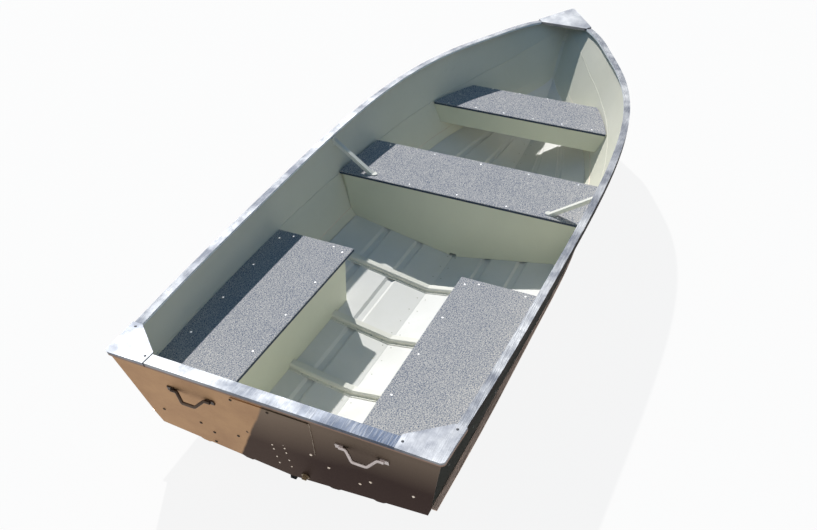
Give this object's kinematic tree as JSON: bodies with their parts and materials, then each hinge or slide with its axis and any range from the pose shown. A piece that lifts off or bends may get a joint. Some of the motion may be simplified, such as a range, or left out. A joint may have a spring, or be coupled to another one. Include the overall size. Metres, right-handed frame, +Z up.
{
  "type": "open aluminium boat",
  "caption": "Open riveted aluminium rowing and outboard boat with a shallow V bottom, a full-width middle seat, stern benches, a bow seat and a raked transom for a small outboard.",
  "frame": {"origin": "on the centre line at the waterline of the empty boat, 1.65 m forward of the transom's top edge", "axes": "+X towards the bow, +Y to port, +Z up; the boat floats level with Z = 0 at the water"},
  "size_m": [3.7169, 1.3658, 0.6589],
  "materials": {
    "hull_paint": "semi-gloss, rubbed",
    "seat_paint": "speckled matte",
    "cast_caps": "cast, dull",
    "handle_metal": "cast, dull",
    "brace_tube": "dull",
    "extrusion_paint": "semi-gloss",
    "plug_brass": "tarnished",
    "gunwale_aluminium": "dull mill finish",
    "transom_paint": "semi-gloss, stained",
    "plywood_painted": "varnished ply"
  },
  "bodies": {
    "root": {"bench_riser_port": "hull_paint", "bench_riser_starboard": "hull_paint", "bench_top_port": "seat_paint", "bench_top_starboard": "seat_paint", "bow_cap": "cast_caps", "bow_eye": "handle_metal", "bow_seat_box": "hull_paint", "bow_seat_top": "seat_paint", "brace_port": "brace_tube", "brace_starboard": "brace_tube", "chine_rail_port": "extrusion_paint", "chine_rail_starboard": "extrusion_paint", "corner_cap_port": "cast_caps", "corner_cap_starboard": "cast_caps", "drain_plug": "plug_brass", "gunwale_port": "gunwale_aluminium", "gunwale_starboard": "gunwale_aluminium", "hull_bottom_port": "hull_paint", "hull_bottom_starboard": "hull_paint", "hull_side_port": "hull_paint", "hull_side_starboard": "hull_paint", "keel": "extrusion_paint", "lift_handle_port": "handle_metal", "lift_handle_starboard": "handle_metal", "motor_plate": "transom_paint", "rib_1": "hull_paint", "rib_2": "hull_paint", "rib_3": "hull_paint", "rib_4": "hull_paint", "stem": "extrusion_paint", "thwart_riser_aft": "hull_paint", "thwart_riser_forward": "hull_paint", "thwart_top": "seat_paint", "transom_core": "plywood_painted", "transom_rail": "gunwale_aluminium", "transom_skin": "transom_paint"}
  },
  "joints": []
}
